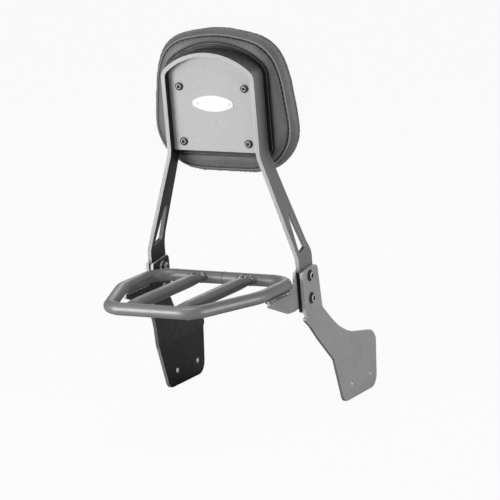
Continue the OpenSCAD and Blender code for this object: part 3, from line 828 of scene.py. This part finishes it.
def run_bead(name, points, bead):
    """A bead along an open line of points, made of overlapping drops."""
    drops = []
    total = sum((points[k + 1] - points[k]).length for k in range(len(points) - 1))
    count = max(2, int(total / (bead * 0.75)))
    for k in range(count + 1):
        far = total * k / count
        place = points[-1]
        along = points[-1] - points[-2]
        for a, b in zip(points, points[1:]):
            if far <= (b - a).length + 1e-9:
                place, along = a + (b - a).normalized() * far, b - a
                break
            far -= (b - a).length
        bpy.ops.object.select_all(action="DESELECT")
        bpy.ops.mesh.primitive_uv_sphere_add(segments=12, ring_count=7, radius=bead, location=place)
        drop = bpy.context.object
        drop.rotation_euler = along.to_track_quat("X", "Z").to_euler()
        drop.scale = (1.0, 1.05 + 0.12 * math.sin(k * 2.1), 0.9 + 0.1 * math.sin(k * 1.3))
        drops.append(drop)
    piece = join(drops, name)
    put_place_in_mesh(piece)
    apply_modifier(piece, "REMESH", "fuse", mode="VOXEL", voxel_size=bead * 0.28)
    apply_modifier(piece, "SMOOTH", "soften", factor=0.5, iterations=2)
    ripple(piece, 0.0004, 0.002)
    smooth(piece, 80)
    return piece


# Cushion


def outline_ring(points, share):
    """The cushion's outline at one share of its thickness, in order from the middle of its top."""
    s = sizes()
    depth = s.pad_back + s.pad_thickness * share
    near = [p for p in points if abs(lean_depth(p) - depth) < 0.00012]
    if len(near) < 12:
        raise RuntimeError(f"no outline of the cushion at depth {depth:.4f}")
    flat = ((p.x, lean_height(p)) for p in near)
    return sorted(flat, key=lambda q: math.atan2(q[0], s.pad_middle - q[1]))


def evenly(ring, count):
    """A closed ring of flat points, spread evenly along its length and eased over its corners."""
    closed = ring + ring[:1]
    lengths = [0.0]
    for a, b in zip(closed, closed[1:]):
        lengths.append(lengths[-1] + math.hypot(b[0] - a[0], b[1] - a[1]))
    steps = np.linspace(0.0, lengths[-1], count, endpoint=False)
    spots = np.stack([np.interp(steps, lengths, [q[k] for q in closed]) for k in (0, 1)], axis=1)
    for _ in range(24):
        spots = 0.5 * spots + 0.25 * (np.roll(spots, 1, axis=0) + np.roll(spots, -1, axis=0))
    return spots


def eased_curve(knots, per_span=24):
    """Smooth curve through the knots of the cushion's section."""
    curve = []
    padded = [knots[0]] + list(knots) + [knots[-1]]
    for a, b, c, d in zip(padded, padded[1:], padded[2:], padded[3:]):
        a, b, c, d = (np.array(q) for q in (a, b, c, d))
        before, after = (c - a) * 0.5, (d - b) * 0.5
        limit = 0.9 * np.abs(c - b)
        before = np.clip(before, -limit, limit)
        after = np.clip(after, -limit, limit)
        for k in range(per_span):
            t = k / per_span
            curve.append(
                (2 * t**3 - 3 * t**2 + 1) * b
                + (t**3 - 2 * t**2 + t) * before
                + (3 * t**2 - 2 * t**3) * c
                + (t**3 - t**2) * after
            )
    curve.append(np.array(knots[-1]))
    return np.array(curve)


def section_curve(corners, widest):
    """The cushion's section, from its back to its front: shares of its width and of its thickness."""
    knots = [(0.0, 0.0), (0.45, 0.0), (0.8, 0.0)]
    for share in SECTION_SHARES:
        ring = outline_ring(corners, share)
        knots.append((max(abs(q[0]) for q in ring) / widest, share))
    knots.append((0.0, FRONT_CROWN))
    return eased_curve(knots)


def ring_step(to_seam, on_back_panel):
    """Distance from one ring of faces to the next: short at a seam and on the bulging back panel."""
    if to_seam < 0.002:
        return 0.00035
    if to_seam < 0.006:
        return 0.0008
    if on_back_panel:
        return 0.0012
    return 0.002 if to_seam < 0.012 else 0.0045


def section_stations(curve, thickness, seams):
    """Places along the section: close together at the seams, wider apart elsewhere."""
    steps = np.hypot(np.diff(curve[:, 0]) * MEAN_RADIUS, np.diff(curve[:, 1]) * thickness)
    far = np.concatenate([[0.0], np.cumsum(steps)])
    seam_at = [float(np.interp(share, curve[:, 1], far)) for share in seams]
    stations = []
    place = 0.0
    while place < far[-1]:
        stations.append(place)
        to_seam = min(abs(place - at) for at in seam_at)
        place += ring_step(to_seam, 0.0 < seam_at[0] - place < BACK_PANEL)
    stations.append(float(far[-1]))
    stations = np.array(stations)
    scale = np.interp(stations, far, curve[:, 0])
    share = np.interp(stations, far, curve[:, 1])
    return stations, scale, share, seam_at


def puff(piece, voxel, most):
    """Foam pressure: the cover is blown up a little as cloth, and no point moves further than most."""
    apply_modifier(piece, "REMESH", "even_mesh", mode="VOXEL", voxel_size=voxel)
    apply_modifier(piece, "SMOOTH", "relax", factor=0.5, iterations=4)
    rest = [v.co.copy() for v in piece.data.vertices]
    back = sizes().pad_back + 0.0015
    held = piece.vertex_groups.new(name="held")
    held.add([v.index for v in piece.data.vertices if lean_depth(v.co) < back], 1.0, "REPLACE")
    cloth = piece.modifiers.new("foam", "CLOTH")
    cloth.settings.quality = 6
    cloth.settings.mass = 0.4
    cloth.settings.tension_stiffness = 30
    cloth.settings.compression_stiffness = 30
    cloth.settings.bending_stiffness = 4
    cloth.settings.use_pressure = True
    cloth.settings.uniform_pressure_force = 4.0
    cloth.settings.effector_weights.gravity = 0.0
    cloth.settings.vertex_group_mass = "held"
    cloth.collision_settings.use_collision = False
    stage = bpy.context.scene
    for step in range(1, 21):
        stage.frame_set(step)
    select_only(piece)
    bpy.ops.object.modifier_apply(modifier="foam")
    stage.frame_set(1)
    for vertex, start in zip(piece.data.vertices, rest):
        move = vertex.co - start
        if move.length > most:
            vertex.co = start + move.normalized() * most
    apply_modifier(piece, "SMOOTH", "settle", factor=0.4, iterations=3)


def in_lean(points):
    return np.array([(p.x, lean_height(p), lean_depth(p)) for p in points])


def fit_to(vertices, corners, trims):
    """Brings a shape back to the solid's width, height and depth, less a trim at both ends of each."""
    flat, want = in_lean([v.co for v in vertices]), in_lean(corners)
    for axis, trim in enumerate(trims):
        low, high = flat[:, axis].min(), flat[:, axis].max()
        want_low, want_high = want[:, axis].min() + trim, want[:, axis].max() - trim
        flat[:, axis] = want_low + (flat[:, axis] - low) * (want_high - want_low) / (high - low)
    for vertex, (x, height, depth) in zip(vertices, flat):
        vertex.co = lean_point(x, depth, height)


def surface_of(mesh):
    return BVHTree.FromPolygons([v.co for v in mesh.vertices], [list(p.vertices) for p in mesh.polygons])


def seam_profile(d, depth):
    """How far the cover stands out at a distance beside a seam: a tight valley, then a turned lip."""
    valley = -depth * math.exp(-((d / 0.00085) ** 2))
    lip = 0.45 * depth * math.exp(-(((d - 0.0021) / 0.0011) ** 2))
    roll = 0.2 * depth * math.exp(-(((d + 0.0032) / 0.0022) ** 2))
    return valley + lip + roll


def lay_rings(form, outline, scales, shares):
    """Rings of points round the cushion, closed at its back and front, with faces between them."""
    s = sizes()
    rows = []
    for scale, share in zip(scales, shares):
        depth = s.pad_back + share * s.pad_thickness
        ring = [(x * scale, s.pad_middle + (h - s.pad_middle) * scale) for x, h in outline]
        rows.append([form.verts.new(lean_point(x, depth, h)) for x, h in ring])
    poles = []
    for share in (0.0, FRONT_CROWN):
        poles.append(form.verts.new(lean_point(0.0, s.pad_back + share * s.pad_thickness, s.pad_middle)))
    around = len(outline)
    for k in range(around):
        nxt = (k + 1) % around
        form.faces.new((poles[0], rows[0][nxt], rows[0][k]))
        form.faces.new((poles[1], rows[-1][k], rows[-1][nxt]))
        for low, high in zip(rows, rows[1:]):
            form.faces.new((low[k], low[nxt], high[nxt], high[k]))
    bmesh.ops.recalc_face_normals(form, faces=form.faces)
    form.normal_update()
    return rows


def lay_on_foam(form, foam):
    """Carries the points onto the foam, bit by bit beside the board, and eases them."""
    held, easing = 0.0012, 0.004
    tree = surface_of(foam.data)
    for vert in form.verts:
        loose = min(1.0, max(0.0, (lean_depth(vert.co) - sizes().pad_back - held) / easing))
        if loose:
            vert.co = vert.co.lerp(tree.find_nearest(vert.co)[0], loose)
    every_way = {"use_axis_x": True, "use_axis_y": True, "use_axis_z": True}
    for _ in range(6):
        bmesh.ops.smooth_vert(form, verts=form.verts[:], factor=0.4, **every_way)
    form.normal_update()


def draw_in(rows, past_seam, to_rear_seam, board):
    """Valleys and lips along the seams, with small puckers, and the bulge of the back panel."""
    s = sizes()
    moves = []
    for row, closest, to_seam in zip(rows, past_seam, to_rear_seam):
        for k, vert in enumerate(row):
            roll = 0.0
            if to_seam > 0.0:
                to_board = board.find_nearest(vert.co)[3]
                roll = s.back_roll * math.sin(math.pi * (to_board / (to_board + to_seam)) ** 0.48)
            pucker = 1.0 + 0.1 * math.sin(k / len(row) * math.tau * s.puckers)
            moves.append((vert, seam_profile(closest, s.groove_depth) * pucker + roll))
    for vert, out in moves:
        vert.co += vert.normal * out


def sewn_cover(solid, foam):
    """The cover as rings of faces round the cushion, laid on the swollen foam and drawn in at its seams."""
    s = sizes()
    corners = [v.co.copy() for v in solid.vertices]
    outline = evenly(outline_ring(corners, WIDEST_SHARE), s.cover_around)
    curve = section_curve(corners, max(abs(outline[:, 0])))
    seams = (s.rear_seam, s.front_seam)
    stations, scales, shares, seam_at = section_stations(curve, s.pad_thickness, seams)
    stations = stations[1:-1]
    past_seam = [min((station - at for at in seam_at), key=abs) for station in stations]
    to_rear_seam = [seam_at[0] - station for station in stations]
    board = surface_of(NODES["pad_base"].data)
    form = bmesh.new()
    rows = lay_rings(form, outline, scales[1:-1], shares[1:-1])
    lay_on_foam(form, foam)
    draw_in(rows, past_seam, to_rear_seam, board)
    fit_to(form.verts[:], corners, (0.0003, s.cover_trim))
    rings = []
    for at in seam_at:
        row = rows[int(np.argmin(np.abs(stations - at)))]
        rings.append([v.co.copy() for v in row])
    order = {vert: index for index, vert in enumerate(form.verts)}
    beside_seam = [1.0] * len(form.verts)
    beside_board = [0.0] * len(form.verts)
    for row, closest in zip(rows, past_seam):
        for vert in row:
            beside_seam[order[vert]] = closest
            beside_board[order[vert]] = board.find_nearest(vert.co)[3]
    mesh = bpy.data.meshes.new("sewn_cushion")
    form.to_mesh(mesh)
    form.free()
    for name, values in (("beside_seam", beside_seam), ("beside_board", beside_board)):
        mesh.attributes.new(name, "FLOAT", "POINT").data.foreach_set("value", values)
    cover = bpy.data.objects.new("sewn_cushion", mesh)
    bpy.context.collection.objects.link(cover)
    return cover, rings


def stitch_row(piece, ring, side, offset, name):
    """One row of stitches beside a seam."""
    s = sizes()
    depth_way = Vector((0.0, math.cos(s.lean), math.sin(s.lean)))
    tree = surface_of(piece.data)
    bpy.ops.object.select_all(action="DESELECT")
    bpy.ops.mesh.primitive_uv_sphere_add(segments=8, ring_count=5, radius=1.0)
    model = bpy.context.object
    model.data.transform(Matrix.Diagonal((s.stitch_pitch * 0.36, s.thread / 2, s.thread / 2, 1.0)))
    travelled = 0.0
    made = []
    for k, place in enumerate(ring):
        step = ring[(k + 1) % len(ring)] - ring[k - 1]
        travelled += step.length / 2
        if travelled < s.stitch_pitch:
            continue
        travelled -= s.stitch_pitch
        along = step.normalized()
        across = along.cross(tree.find_nearest(place)[1]).normalized()
        if across.dot(depth_way) < 0:
            across = -across
        spot, surface_normal, _, _ = tree.find_nearest(place + across * side * offset)
        across = surface_normal.cross(along).normalized()
        along = across.cross(surface_normal).normalized()
        basis = Matrix((along, across, surface_normal)).transposed().to_4x4()
        stitch = bpy.data.objects.new("stitch", model.data.copy())
        bpy.context.collection.objects.link(stitch)
        stitch.matrix_world = Matrix.Translation(spot + surface_normal * s.thread * 0.12) @ basis
        made.append(stitch)
    bpy.data.objects.remove(model, do_unlink=True)
    row = join(made, name)
    select_only(row)
    bpy.ops.object.shade_smooth()
    return row


# Operators


class BACKREST_OT_stage(bpy.types.Operator):
    """Pale floor, soft lamps, white surroundings and the camera"""

    bl_idname = "backrest.stage"
    bl_label = "Stage"

    def execute(self, context):
        scene = context.scene
        scene.view_settings.view_transform = "Standard"
        self.surroundings(scene)
        self.floor(CAD_BOX[0][2])
        self.lamps()
        self.camera(scene)
        return {"FINISHED"}

    def surroundings(self, scene):
        world = scene.world or bpy.data.worlds.new("studio")
        scene.world = world
        world.use_nodes = True
        nodes, links = world.node_tree.nodes, world.node_tree.links
        nodes.clear()
        light = self.white(nodes, "ShaderNodeBackground", WORLD_LIGHT)
        seen = self.white(nodes, "ShaderNodeBackground", 1.0)
        mix = nodes.new("ShaderNodeMixShader")
        out = nodes.new("ShaderNodeOutputWorld")
        links.new(self.seen_directly(nodes, links), mix.inputs[0])
        links.new(light.outputs[0], mix.inputs[1])
        links.new(seen.outputs[0], mix.inputs[2])
        links.new(mix.outputs[0], out.inputs["Surface"])

    def white(self, nodes, kind, strength):
        """A node that gives off plain white light."""
        made = nodes.new(kind)
        made.inputs["Color"].default_value = (1.0, 1.0, 1.0, 1.0)
        made.inputs["Strength"].default_value = strength
        return made

    def seen_directly(self, nodes, links):
        """One for what the camera or a clear material shows."""
        path = nodes.new("ShaderNodeLightPath")
        most = nodes.new("ShaderNodeMath")
        most.operation = "MAXIMUM"
        links.new(path.outputs["Is Camera Ray"], most.inputs[0])
        links.new(path.outputs["Is Transmission Ray"], most.inputs[1])
        return most.outputs[0]

    def floor(self, lowest):
        bpy.ops.object.select_all(action="DESELECT")
        bpy.ops.mesh.primitive_plane_add(size=14.0, location=(0.0, 0.0, lowest - 0.0005))
        floor = bpy.context.object
        floor.name = "studio_floor"
        material = bpy.data.materials.new("pale_floor")
        material.use_nodes = True
        nodes, links = material.node_tree.nodes, material.node_tree.links
        shader = nodes["Principled BSDF"]
        shader.inputs["Base Color"].default_value = (*colours().floor, 1.0)
        shader.inputs["Roughness"].default_value = 0.9
        glow = self.white(nodes, "ShaderNodeEmission", 1.0)
        share = nodes.new("ShaderNodeMath")
        share.operation = "MULTIPLY"
        share.inputs[1].default_value = FLOOR_GLOW
        mix = nodes.new("ShaderNodeMixShader")
        links.new(self.seen_directly(nodes, links), share.inputs[0])
        links.new(share.outputs[0], mix.inputs[0])
        links.new(shader.outputs[0], mix.inputs[1])
        links.new(glow.outputs[0], mix.inputs[2])
        links.new(mix.outputs[0], nodes["Material Output"].inputs["Surface"])
        floor.data.materials.append(material)

    def lamps(self):
        target = Vector(LAMP_TARGET)
        for name, place, size, power in (
            ("key_softbox", (-1.0, -1.85, 0.3), 1.0, 36.0),
            ("top_softbox", (0.0, -0.6, 2.4), 1.2, 15.0),
            ("side_softbox", (2.7, 0.2, 0.4), 1.0, 32.0),
            ("front_softbox", (-0.7, 1.6, 1.0), 0.8, 5.0),
        ):
            data = bpy.data.lights.new(name, "AREA")
            data.shape = "SQUARE"
            data.size = size
            data.energy = power
            lamp = bpy.data.objects.new(name, data)
            bpy.context.collection.objects.link(lamp)
            lamp.location = place
            lamp.rotation_euler = (target - Vector(place)).to_track_quat("-Z", "Y").to_euler()
            lamp.visible_camera = False

    def camera(self, scene):
        data = bpy.data.cameras.new("camera")
        data.sensor_width = SENSOR_WIDTH
        data.sensor_fit = "HORIZONTAL"
        data.lens = FOCAL_LENGTH_IN_PIXELS / PICTURE_WIDTH_IN_PIXELS * SENSOR_WIDTH
        data.clip_end = 60.0
        camera = bpy.data.objects.new("camera", data)
        bpy.context.collection.objects.link(camera)
        look = Euler((math.radians(90.0 - CAMERA_LOOKS_DOWN), 0.0, math.radians(CAMERA_TURNS))).to_matrix()
        turned = look @ Matrix.Rotation(math.radians(CAMERA_ROLLS), 3, "Z")
        camera.matrix_world = Matrix.Translation(CAMERA_PLACE) @ turned.to_4x4()
        scene.camera = camera


class BACKREST_OT_coated_steel(bpy.types.Operator):
    """Satin powder coat on the upright, brackets and side plates, and a textured one on the back plate"""

    bl_idname = "backrest.coated_steel"
    bl_label = "Coated steel"

    def execute(self, context):
        c = colours()
        lean = sizes().lean
        strip_axis = (0.0, math.cos(lean), math.sin(lean))
        dress(("upright",), plate_coat("satin_strip_coat", 0.4, strip_axis))
        # The side plates and brackets take lighter copies of the strip's coat and cut edges (tone,
        # cut_tone), as painted light.
        dress(SIDE_PLATES, plate_coat("satin_plate_coat", 0.42, tone=1.65, cut_tone=1.15))
        dress(BRACKETS, plate_coat("satin_bracket_coat", 0.42, tone=1.5, cut_tone=1.3))
        plate_paint = powder_coat(
            "textured_plate_coat",
            c.plate,
            shade(c.plate, 1.2),
            roughness=0.5,
            grain=900.0,
            grain_height=0.0004,
            edge_radius=0.0005,
            cloud=0.02,
            speck=0.3,
        )
        dress(("back_plate",), plate_paint)
        dress(("pad_base",), moulded_board())
        return {"FINISHED"}


class BACKREST_OT_badge(bpy.types.Operator):
    """Blank badge and its rivets"""

    bl_idname = "backrest.badge"
    bl_label = "Badge"

    def execute(self, context):
        dress(("badge_plate", "badge_rivets"), badge_white())
        return {"FINISHED"}


class BACKREST_OT_fasteners(bpy.types.Operator):
    """Blackened bolts and screws, plated nuts and spacers"""

    bl_idname = "backrest.fasteners"
    bl_label = "Fasteners"

    def execute(self, context):
        s = sizes()
        lean_axis = (0.0, math.cos(s.lean), math.sin(s.lean))
        screw_heights = (s.screw_low, s.screw_low + s.screw_rise)
        pad_axes = [(tuple(lean_point(s.screw_x, 0.0, h)), lean_axis) for h in screw_heights]
        dress(("pad_screws",), black_oxide("blackened_screws", pad_axes, s.screw))
        bolt_heights = (s.bolt_low, s.bolt_low + s.bolt_rise)
        bolt_axes = [(tuple(lean_point(0.0, s.bolt_depth, h)), (1.0, 0.0, 0.0)) for h in bolt_heights]
        dress(SIDE_BOLTS, black_oxide("blackened_bolts", bolt_axes, s.bolt))
        dress(FLANGE_NUTS + ("pad_spacers", "pad_tee_nuts"), zinc_plate())
        return {"FINISHED"}


class BACKREST_OT_rack(bpy.types.Operator):
    """Coat of the rack's tubes and the weld beads that hold them"""

    bl_idname = "backrest.rack"
    bl_label = "Rack"

    def execute(self, context):
        c = colours()
        tube_paint = powder_coat(
            "tube_powder_coat",
            c.tube,
            shade(c.edge_highlight, 0.8),
            roughness=0.46,
            grain=650.0,
            grain_height=0.00012,
            edge_radius=0.0006,
            cloud=0.12,
            under=0.08,
            ior=2.3,
        )
        dress(TUBES, tube_paint)
        bar_welds = join(self.bar_beads() + self.butt_beads(), "bar_welds")
        finish_piece(bar_welds, painted_weld("bar_weld_paint", 1.0))
        # The bracket welds take a lighter copy of the weld paint, as painted light.
        bracket_welds = join(self.bracket_beads(), "bracket_welds")
        finish_piece(bracket_welds, painted_weld("bracket_weld_paint", 1.5))
        return {"FINISHED"}

    def bar_beads(self):
        """A thin bead right round each end of each bar, and thicker ones at its two edges."""
        s = sizes()
        radius = s.tube_diameter / 2
        rear_cross_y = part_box("rack_ring")[0][1] + radius
        ends = (("front", s.front_cross_y, -1.0, s.bead * 1.6), ("rear", rear_cross_y, 1.0, s.bead * 0.5))
        runs = ((range(0, 361, 12), 0.55), (range(-64, 65, 8), 1.0), (range(116, 245, 8), 1.0))
        beads = []
        for side in ("left", "right"):
            low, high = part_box(f"rack_bar_{side}")
            centre = Vector(((low.x + high.x) / 2, 0.0, s.rack_height))
            half = Vector(((high.x - low.x) / 2, 0.0, s.bar_end / 2))
            for name, y, way, size in ends:
                joint = centre + Vector((0.0, y, 0.0))
                for turns, share in runs:
                    lift = size * share * 0.3
                    line = [saddle_point(joint, half, way, radius, lift, turn) for turn in turns]
                    beads.append(run_bead(f"{name}_bar_weld_{side}", line, size * share))
        return beads

    def butt_beads(self):
        """The two joints of the front cross tube."""
        s = sizes()
        beads = []
        for name, x in (("left", -0.080), ("middle", 0.0)):
            centre = (x, s.front_cross_y, s.rack_height)
            turn = (0.0, math.pi / 2, 0.0)
            wide = s.tube_diameter
            beads.append(ring_bead(f"butt_weld_{name}", centre, turn, wide, wide, s.bead * 0.2))
        return beads

    def bracket_beads(self):
        """A bead along the tube on both faces of each bracket."""
        s = sizes()
        radius = s.tube_diameter / 2
        axis_inset, clear, sunk = 0.006, 0.0016, 0.0022
        rear_gap, front_gap = 0.003, 0.031
        beads = []
        for side, sign in (("left", -1.0), ("right", 1.0)):
            low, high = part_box(f"rack_bracket_{side}")
            outer = max(abs(low.x), abs(high.x))
            inner = min(abs(low.x), abs(high.x))
            for name, face, aside in (("outer", outer, clear), ("inner", inner, -clear)):
                drop = math.sqrt(max(0.0, radius**2 - (face - outer + axis_inset) ** 2))
                x, z = sign * (face + aside), s.rack_height - drop - sunk
                start = Vector((x, low.y + rear_gap, z))
                end = Vector((x, s.front_cross_y - front_gap, z))
                beads.append(run_bead(f"bracket_weld_{name}_{side}", [start, end], s.bead * 1.35))
        return beads


class BACKREST_OT_cushion(bpy.types.Operator):
    """Foam cushion under a sewn, grained cover"""

    bl_idname = "backrest.cushion"
    bl_label = "Cushion"

    def execute(self, context):
        s = sizes()
        mesh = NODES["backrest_cushion"].data.copy()
        form = bmesh.new()
        form.from_mesh(mesh)
        bmesh.ops.remove_doubles(form, verts=form.verts, dist=0.00001)
        bmesh.ops.recalc_face_normals(form, faces=form.faces)
        form.to_mesh(mesh)
        form.free()
        foam = bpy.data.objects.new("foam", mesh.copy())
        context.collection.objects.link(foam)
        middle = lean_point(0.0, s.pad_back, s.pad_middle)
        shrink = Matrix.Scale(1.0 - s.pad_swell * 0.8 / HALF_WIDTH, 4)
        foam.data.transform(Matrix.Translation(middle) @ shrink @ Matrix.Translation(-middle))
        puff(foam, s.pad_voxel, s.pad_swell)
        fit_to(foam.data.vertices, [v.co for v in mesh.vertices], (0.0, 0.0, 0.0))
        cushion, rings = sewn_cover(mesh, foam)
        bpy.data.objects.remove(foam, do_unlink=True)
        select_only(cushion)
        bpy.ops.object.shade_smooth()
        finish_piece(cushion, grained_cover())
        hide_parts("backrest_cushion")
        rear_ring, front_ring = rings
        rows = [
            stitch_row(cushion, rear_ring, 1.0, s.stitch_offset * 0.4, "rear_stitches"),
            stitch_row(cushion, front_ring, 1.0, s.stitch_offset, "front_stitches"),
            stitch_row(cushion, front_ring, -1.0, s.stitch_offset, "side_stitches"),
        ]
        stitches = join(rows, "cushion_stitches")
        finish_piece(stitches, sewing_thread())
        return {"FINISHED"}


class BACKREST_PT_panel(bpy.types.Panel):
    """Everything that builds the dressed backrest"""

    bl_idname = "BACKREST_PT_panel"
    bl_label = "Backrest"
    bl_space_type = "VIEW_3D"
    bl_region_type = "UI"
    bl_category = "Backrest"

    def draw(self, context):
        layout = self.layout
        for group in (context.scene.backrest_sizes, context.scene.backrest_colours):
            box = layout.box()
            for name in group.__annotations__:
                box.prop(group, name)
        for operator in OPERATORS:
            layout.operator(operator.bl_idname)


OPERATORS = (
    BACKREST_OT_stage,
    BACKREST_OT_coated_steel,
    BACKREST_OT_badge,
    BACKREST_OT_fasteners,
    BACKREST_OT_rack,
    BACKREST_OT_cushion,
)
CLASSES = (BackrestSizes, BackrestColours, *OPERATORS, BACKREST_PT_panel)


def register():
    for one in CLASSES:
        bpy.utils.register_class(one)
    bpy.types.Scene.backrest_sizes = bpy.props.PointerProperty(type=BackrestSizes)
    bpy.types.Scene.backrest_colours = bpy.props.PointerProperty(type=BackrestColours)


def unregister():
    del bpy.types.Scene.backrest_colours
    del bpy.types.Scene.backrest_sizes
    for one in reversed(CLASSES):
        bpy.utils.unregister_class(one)


def main():
    register()
    bpy.ops.backrest.stage()
    bpy.ops.backrest.coated_steel()
    bpy.ops.backrest.badge()
    bpy.ops.backrest.fasteners()
    bpy.ops.backrest.rack()
    bpy.ops.backrest.cushion()


if __name__ == "__main__":
    main()
